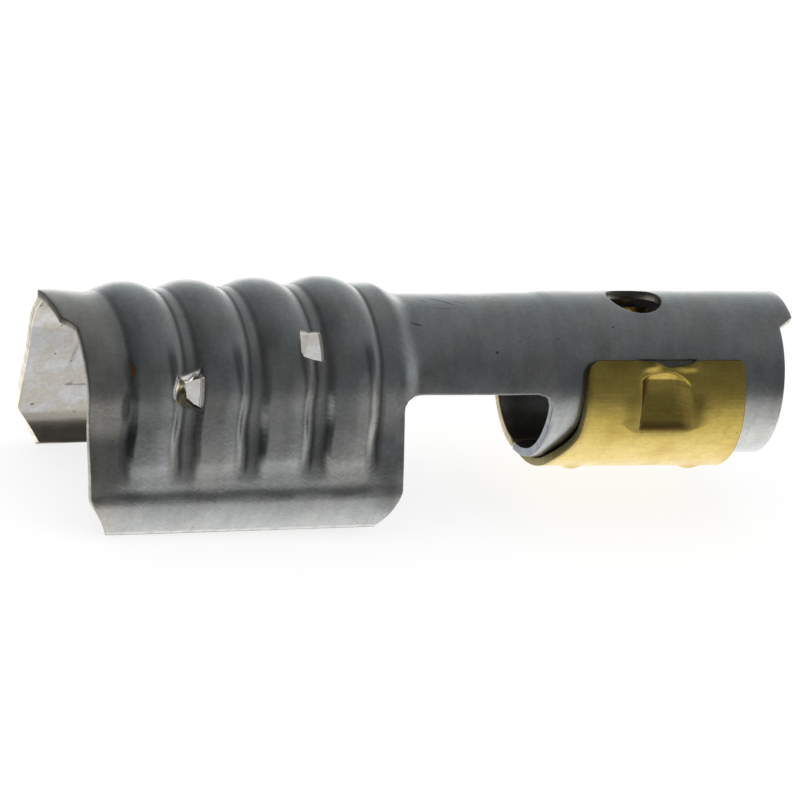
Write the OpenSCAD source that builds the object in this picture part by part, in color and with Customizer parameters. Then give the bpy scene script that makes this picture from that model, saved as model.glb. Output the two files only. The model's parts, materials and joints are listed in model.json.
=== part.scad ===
// Spark plug terminal. One steel sheet is stamped and rolled into a socket for the plug's nut,
// a half-round neck and an open, ribbed crimp barrel. A brass spring clip wraps the socket.
// X runs along the socket and out of its mouth, Z is up, and the barrel opens downward.

/* [Sheet] */
// Thickness of the steel sheet
sheet_t = 0.37; // [0.3:0.01:0.46]

/* [Socket] */
// Inside diameter of the socket
socket_d = 6.42; // [6.3:0.02:7]
// Length of the rolled socket
socket_len = 11.2; // [10.8:0.1:14]
// Gap of the seam along the socket's underside
seam_gap = 0.3; // [0.1:0.05:0.8]
// Diameter of the round hole in the socket's top
vent_d = 2.6; // [1.6:0.05:3]
// Distance of the round hole from the mouth
vent_x = 6.4; // [4:0.02:8]
// Angle of the round hole from the socket's top
vent_angle = 4; // [0:1:12]
// Width of the cut-off tab at each end of the sheet, at its root
tab_w = 3.6; // [2:0.1:4]
// Width of each tab at its tip
tab_tip_w = 2.6; // [1.2:0.1:3.4]
// Length of the cut-off tab at the mouth
mouth_tab_len = 0.74; // [0.3:0.01:1.2]

/* [Neck] */
// Length of the half-round neck
neck_len = 6.1; // [4:0.1:10]
// How far the neck's skin lies inside the socket's skin
neck_step = 0.06; // [0.06:0.01:0.14]
// Length of the taper at the socket's rear end, down to the neck
neck_taper_len = 0.7; // [0.6:0.05:1.2]
// Height of the neck's side edges above the socket's axis
neck_edge_z = 0.69; // [0:0.01:1.2]
// Fillet where the neck's edge meets the socket
neck_fillet_r = 0.7; // [0.3:0.05:1]
// Fillet where the neck's edge meets the barrel
wing_fillet_r = 0.45; // [0.2:0.05:0.8]

/* [Crimp barrel] */
// Outside radius of the barrel's arch between its ribs
barrel_r = 4.06; // [4:0.01:4.6]
// Length of the barrel along its top
barrel_len = 15.5; // [15:0.1:19]
// Length of the shoulder from the barrel down to the neck
shoulder_len = 1; // [0.7:0.05:2]
// Droop of the barrel below the socket's line, in degrees
barrel_tilt = 1.7; // [0:0.1:3]
// Outward slope of each wing, in degrees
wing_flare = 13; // [6:0.5:20]
// Depth of the lip's bend below the barrel's axis
wing_drop = 3.4; // [3:0.05:4.5]
// Setback of the wings' front edge from the barrel's front end
wing_setback = 0.2; // [0.05:0.01:0.4]
// Slant of the wings' rear edge, in degrees
rear_slant = 4.2; // [0:0.1:8]
// Length of the lip under each wing
lip_len = 2; // [1.6:0.02:2.6]
// Inward slope of the lip, in degrees
lip_slope = 14; // [4:0.5:24]
// Outside radius of the lip's bend
lip_bend_r = 0.9; // [0.6:0.05:1.4]
// Run of the slanting cut on the lip's rear corner
lip_rear_cut = 1.12; // [0.4:0.01:2]
// Radius of the lip's front corner
lip_front_r = 1.3; // [0.5:0.05:1.8]
// Length of the cut-off tab at the barrel's rear
rear_tab_len = 0.86; // [0.3:0.01:1.2]

/* [Ribs] */
// Number of ribs across the barrel
rib_count = 4; // [2:1:4]
// Spacing of the ribs
rib_pitch = 3.14; // [2.9:0.02:3.2]
// Width of a rib at its foot
rib_w = 2.75; // [2:0.05:2.85]
// Height of a rib above the sheet
rib_h = 0.36; // [0.25:0.01:0.5]
// Plain band between the barrel's rear end and the first rib
rib_start = 1.92; // [1.4:0.02:2.4]
// Distance from the ribs' ends to the lip's bend
rib_foot = 1.5; // [1.2:0.05:2.2]
// Radius of the roll that ends a rib
rib_roll = 0.8; // [0.7:0.05:1.2]
// How deep a rib's form is rooted below the sheet's outside
rib_depth = 0.6; // [0.5:0.05:0.65]

/* [Pierced holes] */
// Length of the rear hole along the barrel
rear_pierce_len = 1.3; // [0.8:0.05:1.4]
// Length of the rear hole across the barrel
rear_pierce_w = 1.9; // [1:0.05:2]
// Distance of the rear hole from the barrel's rear end
rear_pierce_x = 4.86; // [4:0.02:6]
// Angle of the rear hole down from the barrel's top
rear_pierce_angle = 67; // [50:1:74]
// Length of the front hole along the barrel
front_pierce_len = 1.05; // [0.8:0.05:1.4]
// Length of the front hole across the barrel
front_pierce_w = 1.4; // [1:0.05:2]
// Distance of the front hole from the barrel's rear end
front_pierce_x = 10.86; // [10:0.02:12]
// Angle of the front hole down from the barrel's top
front_pierce_angle = 43; // [30:1:66]
// Slant of the holes' ends, in degrees
pierce_skew = 3; // [0:1:20]

/* [Spring clip] */
// Thickness of the brass strip
clip_t = 0.27; // [0.18:0.01:0.32]
// Gap between the socket's side and the clip
clip_gap = 0.15; // [0.14:0.01:0.3]
// How far the clip hangs below the socket's axis
clip_sag = 0.17; // [0:0.01:0.18]
// Distance from the mouth to the front edge of the clip's base
clip_front = 1.75; // [1:0.05:2.5]
// How far the arms' front edge leans back at its top
clip_lean = 0.35; // [0:0.05:0.6]
// Length of the clip along the socket, from its front edge to its arms' rear edge
clip_arm_len = 8; // [7:0.05:9]
// Length that the clip's base adds behind its arms
clip_tail_len = 0.75; // [0.4:0.05:1.2]
// Height of the arms' ends above the clip's centre
clip_arm_z = 2.42; // [2.2:0.02:2.6]
// Depth below the clip's centre where the arms' rear edge starts to run back
clip_sweep_z = 0.8; // [0.4:0.05:1.4]
// Depth below the clip's centre where that run meets the base's rear end
clip_tail_z = 2.6; // [2.2:0.05:3]
// Radius of the arms' rear corner
clip_rear_r = 0.8; // [0.3:0.05:1]
// Radius of the hollow between the arms' rear edge and the base
clip_sweep_r = 1.6; // [0.6:0.1:2]
// Radius of the arms' front corner and of the notch
clip_corner_r = 0.35; // [0.2:0.05:0.5]
// Width of the notch over a dimple
notch_w = 1.9; // [1:0.05:2.2]
// Depth of the notch over a dimple
notch_depth = 0.3; // [0.1:0.02:0.34]

/* [Dimples] */
// Distance of a dimple's centre from the mouth
dimple_x = 5.8; // [4.5:0.02:6]
// Height of a dimple's centre above the clip's centre
dimple_z = 0.42; // [0.3:0.02:0.5]
// Length of a dimple along the socket
dimple_len = 2.4; // [1.8:0.05:2.8]
// Height of a dimple's straight sides
dimple_side_h = 2.2; // [1.6:0.05:2.3]
// Rise of a dimple's arched top over its sides
dimple_rise = 0.45; // [0.3:0.05:0.6]
// How far a dimple reaches into the socket
dimple_reach = 0.21; // [0.1:0.01:0.21]
// Room around a dimple in its window
window_room = 0.3; // [0.2:0.05:0.5]
// Diameter of the small bosses under the clip
boss_d = 1.15; // [0.7:0.05:1.4]
// Height of the small bosses under the clip
boss_h = 0.14; // [0.06:0.01:0.2]
// Angle of the bosses from the clip's lowest line
boss_angle = 25; // [15:1:35]
// Distance of the front bosses from the mouth
front_boss_x = 3.06; // [2.6:0.02:4]
// Distance of the rear bosses from the mouth
rear_boss_x = 8.78; // [7.6:0.02:9]

/* [Hidden] */
$fn = 96;
// Cutters pass their faces by this much
over = 1;
// Segments in a rounded corner of an outline
corner_steps = 6;

socket_r = socket_d / 2 + sheet_t;
neck_r = socket_r - neck_step;
x_socket = -socket_len;
x_taper = x_socket + neck_taper_len;
x_neck = x_socket - neck_len;
// The straight neck runs on into the drooping shoulder by this much
neck_lap = shoulder_len / 4;

// In the barrel's own frame the neck ends at 0 and the barrel runs to negative X
barrel_front = -shoulder_len;
barrel_rear = barrel_front - barrel_len;
wing_front = barrel_front - wing_setback;
bend_y = (barrel_r + wing_drop * sin(wing_flare)) / cos(wing_flare);
lip_line = bend_y * cos(lip_slope) + wing_drop * sin(lip_slope);
lip_end_z = -wing_drop - lip_len * cos(lip_slope);
wing_len = barrel_r * sin(wing_flare) + wing_drop;
wing_slope_len = wing_len / cos(wing_flare);
bend_rear_x = barrel_rear + (barrel_r + wing_drop) * tan(rear_slant);
lip_rear_x = bend_rear_x + lip_rear_cut;

// A rib is an arc of this radius, with its chord on the sheet
rib_r = (rib_w * rib_w / 4 + rib_h * rib_h) / (2 * rib_h);
rib_straight = wing_slope_len - rib_foot;

clip_r = socket_r + clip_gap;
clip_rear = -clip_front - clip_arm_len;
dimple_face_y = socket_d / 2 - dimple_reach;
boss_r = (boss_d * boss_d / 4 + boss_h * boss_h) / (2 * boss_h);

function unit(v) = v / norm(v);
function turn(a) = a > 180 ? a - 360 : a < -180 ? a + 360 : a;
// Points of the arc that rounds the corner p1 between p0 and p2
function corner(p0, p1, p2, r) =
    let (u = unit(p0 - p1), v = unit(p2 - p1), half = acos(u * v) / 2)
    let (c = p1 + unit(u + v) * r / sin(half))
    let (s = p1 + u * r / tan(half) - c, e = p1 + v * r / tan(half) - c)
    let (a0 = atan2(s[1], s[0]), sweep = turn(atan2(e[1], e[0]) - a0))
    [for (i = [0 : corner_steps]) let (a = a0 + sweep * i / corner_steps) c + r * [cos(a), sin(a)]];
// An outline with each corner rounded by its own radius, and 0 for a sharp one
function rounded(pts, radii) =
    let (n = len(pts))
    [for (i = [0 : n - 1])
        each radii[i] > 0 ? corner(pts[(i + n - 1) % n], pts[i], pts[(i + 1) % n], radii[i]) : [pts[i]]];
// A point of the barrel's side view, carried to the socket's side view
function drooped(p) = [
    x_neck + p[0] * cos(barrel_tilt) - p[1] * sin(barrel_tilt),
    p[0] * sin(barrel_tilt) + p[1] * cos(barrel_tilt)
];
// Where the wing's and the lip's faces cross, each moved inward by inset
function bend_point(inset) =
    let (w = barrel_r - inset, l = lip_line - inset)
    [w * sin(lip_slope) + l * sin(wing_flare), w * cos(lip_slope) - l * cos(wing_flare)]
        / sin(wing_flare + lip_slope);

module barrel_frame() {
    translate([x_neck, 0, 0])
        rotate([0, -barrel_tilt, 0])
            children();
}

// A rod or cone along X from x0 to x1
module rod(x0, x1, r0, r1) {
    translate([x0, 0, 0])
        rotate([0, 90, 0])
            cylinder(h = x1 - x0, r1 = r0, r2 = r1);
}

// A side outline in X and Z, carried right across the part
module side_prism(half_width) {
    rotate([90, 0, 0])
        translate([0, 0, -half_width])
            linear_extrude(height = 2 * half_width)
                children();
}

// Cross-section of the barrel, filled, with its skin moved inward by inset
module barrel_section(inset) {
    r = barrel_r - inset;
    tangent = r * [cos(wing_flare), sin(wing_flare)];
    bend = bend_point(inset);
    reach = inset > 0 ? lip_len + over : lip_len;
    lip = bend + reach * [-sin(lip_slope), -cos(lip_slope)];
    bend_r = lip_bend_r - inset;
    flip = [[-1, 0], [0, 1]];
    circle(r = r);
    polygon(rounded(
        [tangent, bend, lip, flip * lip, flip * bend, flip * tangent],
        [0, bend_r, 0, 0, bend_r, 0]
    ));
}

// Side view of all ribs, with the distance from the barrel's axis along X and the length along Y
module rib_profiles(inset, axis_r) {
    for (i = [0 : rib_count - 1])
        translate([-axis_r, barrel_rear + rib_start + rib_w / 2 + i * rib_pitch])
            intersection() {
                translate([barrel_r + rib_h - rib_r, 0])
                    circle(r = rib_r - inset);
                translate([barrel_r - rib_depth, -rib_pitch / 2])
                    square([barrel_r, rib_pitch]);
            }
}

// Ribs over the arch and down both wings, each rolled under at its ends
module ribs(inset) {
    rotate([0, 90, 0])
        rotate([0, 0, 90 + wing_flare])
            rotate_extrude(angle = 180 - 2 * wing_flare)
                rib_profiles(inset, 0);
    for (side = [0, 1])
        mirror([0, side, 0])
            rotate([0, 90, 0])
                rotate([0, 0, 90 + wing_flare]) {
                    rotate([90, 0, 0])
                        linear_extrude(height = rib_straight)
                            rib_profiles(inset, 0);
                    translate([barrel_r - rib_roll, -rib_straight, 0])
                        rotate([0, 0, -90])
                            rotate_extrude(angle = 90)
                                rib_profiles(inset, barrel_r - rib_roll);
                }
}

// The whole stamping as a filled form, with its skin moved inward by inset
module form(inset, past) {
    rod(x_taper, mouth_tab_len + past, socket_r - inset, socket_r - inset);
    rod(x_socket, x_taper, neck_r - inset, socket_r - inset);
    rod(x_neck - neck_lap, x_socket, neck_r - inset, neck_r - inset);
    barrel_frame() {
        rod(barrel_front, 0, barrel_r - inset, neck_r - inset);
        translate([barrel_front, 0, 0])
            rotate([0, -90, 0])
                rotate([0, 0, -90])
                    linear_extrude(height = barrel_len + rear_tab_len + past)
                        barrel_section(inset);
        ribs(inset);
    }
}

// Space under the neck, from the wings' front edge to the socket's rear end
module neck_clearance() {
    floor_z = lip_end_z - socket_r;
    outline = [
        [x_socket, floor_z],
        [x_socket, neck_edge_z],
        drooped([wing_front, neck_edge_z]),
        drooped([wing_front, lip_end_z]),
        drooped([wing_front - 2 * lip_front_r, lip_end_z]),
        drooped([wing_front - 2 * lip_front_r, floor_z])
    ];
    side_prism(2 * barrel_r)
        polygon(rounded(outline, [0, neck_fillet_r, wing_fillet_r, lip_front_r, 0, 0]));
}

// Upright prism over a cut-off tab that tapers along +X from its root at 0
module tab_prism(length) {
    root = tab_w / 2;
    tip = tab_tip_w / 2;
    end = length + 2 * over;
    linear_extrude(height = 4 * barrel_r)
        polygon([
            [-over, -root],
            [0, -root],
            [length, -tip],
            [end, -tip],
            [end, tip],
            [length, tip],
            [0, root],
            [-over, root]
        ]);
}

// Everything behind the barrel's slanting rear edge, apart from the cut-off tab
module rear_trim() {
    top_z = barrel_r + rib_h + over;
    back_x = barrel_rear - rear_tab_len - 2 * over;
    floor_z = lip_end_z - over;
    difference() {
        side_prism(2 * barrel_r)
            polygon([
                [back_x, top_z],
                [barrel_rear, top_z],
                [barrel_rear, barrel_r],
                [bend_rear_x, -wing_drop],
                [lip_rear_x, lip_end_z],
                [lip_rear_x, floor_z],
                [back_x, floor_z]
            ]);
        translate([barrel_rear, 0, 0])
            mirror([1, 0, 0])
                tab_prism(rear_tab_len);
    }
}

// The socket's mouth, trimmed square beside its cut-off tab
module mouth_trim() {
    difference() {
        rod(0, mouth_tab_len + over, 2 * socket_r, 2 * socket_r);
        tab_prism(mouth_tab_len);
    }
}

// A four-sided hole punched toward the barrel's axis, at distance x from its rear end
module pierced_hole(x, angle, size) {
    half = size / 2;
    lean = half[1] * tan(pierce_skew);
    translate([barrel_rear + x, 0, 0])
        rotate([angle, 0, 0])
            translate([0, 0, barrel_r / 2])
                linear_extrude(height = barrel_r)
                    polygon([
                        [-half[0] + lean, -half[1]],
                        [half[0] + lean, -half[1]],
                        [half[0] - lean, half[1]],
                        [-half[0] - lean, half[1]]
                    ]);
}

// Outline of a dimple in side view, with its walls moved inward by inset
module dimple_outline(inset) {
    half = dimple_len / 2 - inset;
    crown_r = (dimple_len * dimple_len / 4 + dimple_rise * dimple_rise) / (2 * dimple_rise);
    translate([-dimple_x, dimple_z - clip_sag])
        intersection() {
            translate([0, dimple_side_h / 2 + dimple_rise - crown_r])
                circle(r = crown_r - inset);
            translate([-half, -dimple_side_h / 2 + inset])
                square([2 * half, dimple_side_h + dimple_rise]);
        }
}

// Window in each side of the socket that lets a dimple through
module dimple_windows() {
    size = [dimple_len + 2 * window_room, dimple_side_h + dimple_rise + 2 * window_room];
    side_prism(2 * socket_r)
        translate([-dimple_x - size[0] / 2, dimple_z - clip_sag - dimple_side_h / 2 - window_room])
            square(size);
}

module terminal_body() {
    color([0.55, 0.56, 0.57])
        difference() {
            form(0, 0);
            form(sheet_t, over);
            neck_clearance();
            mouth_trim();
            barrel_frame() {
                rear_trim();
                pierced_hole(rear_pierce_x, rear_pierce_angle, [rear_pierce_len, rear_pierce_w]);
                pierced_hole(front_pierce_x, front_pierce_angle, [front_pierce_len, front_pierce_w]);
            }
            translate([x_socket - over, -seam_gap / 2, -2 * socket_r])
                cube([socket_len + 2 * over, seam_gap, 2 * socket_r]);
            translate([-vent_x, 0, 0])
                rotate([-vent_angle, 0, 0])
                    cylinder(h = 2 * socket_r, d = vent_d);
            dimple_windows();
        }
}

// Side view of the clip: arms with a notch over each dimple, and a longer base
module clip_outline() {
    front = -clip_front;
    base_z = -clip_r - clip_t - clip_sag - over;
    arm_z = clip_arm_z - clip_sag;
    tail_x = clip_rear - clip_tail_len;
    outline = [
        [front, base_z],
        [front, -clip_r - clip_sag],
        [front - clip_lean, arm_z],
        [-dimple_x + notch_w / 2, arm_z],
        [-dimple_x, arm_z - notch_depth],
        [-dimple_x - notch_w / 2, arm_z],
        [clip_rear, arm_z],
        [clip_rear, -clip_sweep_z - clip_sag],
        [tail_x, -clip_tail_z - clip_sag],
        [tail_x, base_z]
    ];
    polygon(rounded(
        outline,
        [0, 0, clip_corner_r, 0, clip_corner_r, 0, clip_rear_r, clip_sweep_r, clip_corner_r, 0]
    ));
}

// The strip rolled round the socket, from its inner skin out to its outer one
module clip_band(inner, outer) {
    x0 = clip_rear - clip_tail_len - over;
    translate([0, 0, -clip_sag])
        difference() {
            rod(x0, over, outer, outer);
            rod(x0 - over, 2 * over, inner, inner);
        }
}

module contact_clip() {
    color([0.72, 0.58, 0.22])
        difference() {
            union() {
                intersection() {
                    clip_band(clip_r, clip_r + clip_t);
                    side_prism(2 * socket_r)
                        clip_outline();
                }
                // Walls and floor of the dimples
                for (side = [-1, 1])
                    intersection() {
                        side_prism(clip_r + clip_t)
                            dimple_outline(0);
                        translate([0, 0, -clip_sag])
                            rod(-socket_len, 0, clip_r + clip_t / 2, clip_r + clip_t / 2);
                        translate([-socket_len, side > 0 ? dimple_face_y : -2 * socket_r, -socket_r])
                            cube([socket_len, 2 * socket_r - dimple_face_y, 2 * socket_r]);
                    }
                // Bosses under the base
                for (x = [-front_boss_x, -rear_boss_x])
                    for (side = [-1, 1])
                        translate([x, 0, -clip_sag])
                            rotate([side * boss_angle, 0, 0])
                                intersection() {
                                    translate([0, 0, -clip_r - clip_t - boss_h + boss_r])
                                        sphere(r = boss_r);
                                    translate([-boss_d, -boss_d, -clip_r - clip_t - boss_d])
                                        cube([2 * boss_d, 2 * boss_d, boss_d + clip_t / 2]);
                                }
            }
            // Hollow of the dimples
            for (side = [0, 1])
                mirror([0, side, 0])
                    translate([0, dimple_face_y + clip_t + socket_r, 0])
                        side_prism(socket_r)
                            dimple_outline(clip_t);
        }
}

terminal_body();
contact_clip();
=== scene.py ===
"""Spark plug terminal: a ribbed crimp terminal of plated steel with a brass spring clip round its socket."""
import json
import math

import bpy
import numpy as np
from mathutils import Matrix, Vector


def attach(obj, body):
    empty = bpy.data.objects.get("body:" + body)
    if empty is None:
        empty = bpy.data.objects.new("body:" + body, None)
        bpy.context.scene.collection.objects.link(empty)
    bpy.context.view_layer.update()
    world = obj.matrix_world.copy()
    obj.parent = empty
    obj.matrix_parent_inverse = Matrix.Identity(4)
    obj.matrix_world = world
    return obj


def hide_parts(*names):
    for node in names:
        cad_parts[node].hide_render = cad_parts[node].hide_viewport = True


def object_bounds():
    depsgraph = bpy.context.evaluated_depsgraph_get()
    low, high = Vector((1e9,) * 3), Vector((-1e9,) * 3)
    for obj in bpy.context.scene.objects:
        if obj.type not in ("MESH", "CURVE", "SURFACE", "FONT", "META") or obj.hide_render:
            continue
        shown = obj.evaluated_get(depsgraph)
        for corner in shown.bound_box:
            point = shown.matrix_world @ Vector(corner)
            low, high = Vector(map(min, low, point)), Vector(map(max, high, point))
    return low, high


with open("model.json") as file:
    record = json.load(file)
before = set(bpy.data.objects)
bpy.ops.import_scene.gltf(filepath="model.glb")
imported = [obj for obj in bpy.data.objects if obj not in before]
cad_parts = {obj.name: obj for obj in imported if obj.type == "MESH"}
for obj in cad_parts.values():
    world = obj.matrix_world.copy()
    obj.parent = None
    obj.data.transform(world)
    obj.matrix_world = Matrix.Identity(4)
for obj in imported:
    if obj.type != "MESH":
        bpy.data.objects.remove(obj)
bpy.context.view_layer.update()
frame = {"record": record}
mounts = {m["name"]: m["dims"] for m in frame["record"]["mounts"]}

# Sizes in millimetres, angles in radians. Lengths of the stamping count from the barrel's front end
MM = 0.001
SHEET_T = 0.37

# Neck and socket
SOCKET_R = mounts["plug_socket"]["r_mm"] + SHEET_T
SOCKET_LEN = mounts["plug_socket"]["length_mm"]
SOCKET_TAPER = 0.7
SOCKET_RISE, RISE_FROM, RISE_RUN = 0.07, 2.5, 5.0
SOCKET_DROOP, DROOP_RUN = 0.25, 4.5
SEAM_GAP = 0.12
NECK_R = SOCKET_R - 0.06
NECK_LEN = 6.1
NECK_EDGE_Z = 0.63
NECK_FILLET = 0.7
X_NECK = -SOCKET_LEN - NECK_LEN
MOUTH = SOCKET_LEN + NECK_LEN
TAB_ROOT, TAB_TIP = 1.8, 1.3
MOUTH_TAB, REAR_TAB = 0.74, 0.705
REAR_TAB_SKEW = 0.12

# Barrel, wings and lips
BARREL_R = mounts["cable_barrel"]["r_mm"] + SHEET_T
BARREL_REAR = -16.65
REAR_SLANT = math.radians(5.35)
REAR_UPTURN, REAR_DIP = 0.2, 0.07
TILT, TILT_FROM, TILT_RUN = math.radians(1.7), -1.2, 1.6
FLARE = math.radians(13)
WING_DROP = 4.3
WING_FRONT = -1.2
WING_FILLET = 0.45
WING_TOP = WING_FRONT + WING_FILLET
WING_FRONT_SLANT = 0.04
SWAY_IN, SWAY_IN_Q = 0.145, 4.4
SWAY_OUT, SWAY_OUT_Q = 0.075, 6.5
SWAY_RUN = 2.7
CREASE_Q, CREASE_RUN = 9.58, 0.3
LIP_LEN = 1.278
LIP_SLOPE = math.radians(31.3)
LIP_BEND_R = 1.75
LIP_REAR_CUT, LIP_FRONT_CUT = 1.12, 0.97
REAR_CUT_Z, LIP_END_Z = -3.4, -5.343
SHOULDER_REAR, SHOULDER_RUN = -1.55, 1.3

# Ribs
RIB_COUNT, RIB_PITCH, FIRST_RIB = 4, 3.14, -13.2
RIB_H, RIB_SINK = 0.355, 0.23
RIB_HALF = 1.24
RIBBED_REAR, RIBBED_FRONT, RIBBED_RUN = -15.2, -2.4, 0.8
RIB_FLANK, RIB_RIGHT_FLANK = 0.37, 0.52
RIB_END, RIB_END_RUN = 8.2, 1.4
RIB_WING, RIB_WING_RUN = 2.5, 3.4
RIB_WANDER, RIB_WAVE, RIB_PHASE = 0.035, 2.3, 1.9

# Holes, each centre as length and developed distance, and the windows behind the clip's pressings
TOP_HOLE, TOP_HOLE_R = (MOUTH - 6.45, -0.2), 1.25
REAR_HOLE, FRONT_HOLE = (-11.5, 4.75), (-5.65, 3.05)
WINDOW_REAR, WINDOW_FRONT = 10.0, 13.0
WINDOW_TOP_Z, WINDOW_LOW_Z = 2.05, -1.15
BURR_DEPTH, BURR_GROWTH, BURR_CURL, BURR_THINNING = 0.08, 0.42, 1.7, 0.7

# Clip, with lengths counted from the socket's mouth
CLIP_T = 0.27
CLIP_R = SOCKET_R + 0.15 + CLIP_T
CLIP_SAG = 0.17
CLIP_TOP_Z = 2.25
CLIP_TURN = math.acos(-(CLIP_TOP_Z + CLIP_SAG) / CLIP_R)
CLIP_REAR, CLIP_BASE = -9.75, 0.75
BASE_DEGREES, BASE_SWEEP = 80, 42
CLIP_FRONT, CLIP_LEAN, LEAN_DEGREES = -1.76, 0.31, 119
REAR_CORNER, FRONT_CORNER = 0.6, 0.25
CLIP_HEM, HEM_FLAT, HEM_RUN = 0.1, 0.05, 0.35
NOTCH_X, NOTCH_REAR, NOTCH_FRONT = -5.75, 0.72, 1.2
NOTCH_DEPTH, NOTCH_FLAT, NOTCH_ROUND = 0.31, 0.92, 0.25
LIP_H, NOTCH_LIPS = 0.19, ((-6.6, 0.42), (-4.8, 0.55))
BOSS_H, BOSS_TOP, BOSS_RUN = 0.13, 0.1, 0.5
BOSS_X, BOSS_TURN = (-3.06, -8.78), math.radians(25)
PRESS_X, PRESS_LEFT, PRESS_RIGHT = -5.97, -7.06, -4.18
PRESS_TOP_Z, PRESS_LOW_Z = 1.8, -1.02
PRESS_ARCH, PRESS_HALF = 0.4, 1.12
FLOOR_Y, FLOOR_Z = 3.25, 1.33
FLOOR_LOW_SLOPE, FLOOR_TOP_SLOPE = 0.27, 0.34
BRIM_DEPTH = 0.1

# Developed lengths of the barrel's section, from its top line to the lip's edge
ARCH_TURN = math.pi / 2 - FLARE
BEND_TURN = FLARE + LIP_SLOPE
ARCH_RUN = BARREL_R * ARCH_TURN
BEND_TRIM = LIP_BEND_R * math.tan(BEND_TURN / 2)
WING_RUN = (BARREL_R * math.sin(FLARE) + WING_DROP) / math.cos(FLARE) - BEND_TRIM
BEND_RUN = LIP_BEND_R * BEND_TURN
LIP_RUN = LIP_LEN - BEND_TRIM
BEND_Q = ARCH_RUN + WING_RUN
HALF_RUN = BEND_Q + BEND_RUN + LIP_RUN
EDGE_Q = ARCH_RUN + (BARREL_R * math.sin(FLARE) - NECK_EDGE_Z) / math.cos(FLARE)

# Half widths of the stamping's middle strip, over the ribs and at the socket
STRIP_DROP, STRIP_FROM, STRIP_RUN = 1.6, -0.95, 2.0
STRIP_BARREL = EDGE_Q + STRIP_DROP
STRIP_SOCKET = SOCKET_R * math.acos(NECK_EDGE_Z / SOCKET_R)

# Marks of the stamping's grid: where it starts to be drawn out to an edge, where its step changes, and
# the tolerance when it is split at a mark
REAR_HOLD, WING_HOLD, SOCKET_HOLD, MOUTH_HOLD = -14.3, -3.2, 7.0, 16.3
RIB_FRONT, NECK_REAR, SOCKET_REAR = -2.3, 0.4, 5.4
NUDGE = 1e-9

# Rounding of the cut edges
STEEL_ROUND, BRASS_ROUND = 0.035, 0.05


def ease(t):
    """Smooth step from 0 to 1: 3t^2 - 2t^3 of t held between 0 and 1."""
    t = np.clip(t, 0.0, 1.0)
    return t * t * (3 - 2 * t)


def soft_min(a, b, k):
    """The lower of two arrays, rounded by a parabola where they are closer than k."""
    h = np.clip(0.5 + 0.5 * (b - a) / k, 0.0, 1.0)
    return b * (1 - h) + a * h - k * h * (1 - h)


def spread(marks, step):
    """Positions from the first mark to the last, with every mark among them and about a step apart."""
    pieces = []
    for a, b in zip(marks, marks[1:]):
        pieces.append(np.linspace(a, b, max(2, int(round((b - a) / step)) + 1))[:-1])
    return np.concatenate(pieces + [[marks[-1]]])


def barrel_section(q):
    """Arch, straight wing, bend and lip laid end to end along the developed distance q from the top line.

    Each piece adds its own arc or straight run, so the section is the sum of four clipped lengths.
    Returns the half width y, the height z and the turn of the skin away from level.
    """
    arch = np.clip(q, 0, ARCH_RUN) / BARREL_R
    wing = np.clip(q - ARCH_RUN, 0, WING_RUN)
    bend = np.clip(q - BEND_Q, 0, BEND_RUN) / LIP_BEND_R
    lip = np.maximum(q - BEND_Q - BEND_RUN, 0)
    end = ARCH_TURN + BEND_TURN
    y = BARREL_R * np.sin(arch) + wing * math.cos(ARCH_TURN)
    y = y + LIP_BEND_R * (np.sin(ARCH_TURN + bend) - math.sin(ARCH_TURN)) + lip * math.cos(end)
    z = BARREL_R * np.cos(arch) - wing * math.sin(ARCH_TURN)
    z = z + LIP_BEND_R * (np.cos(ARCH_TURN + bend) - math.cos(ARCH_TURN)) - lip * math.sin(end)
    return y, z, arch + bend


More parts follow.
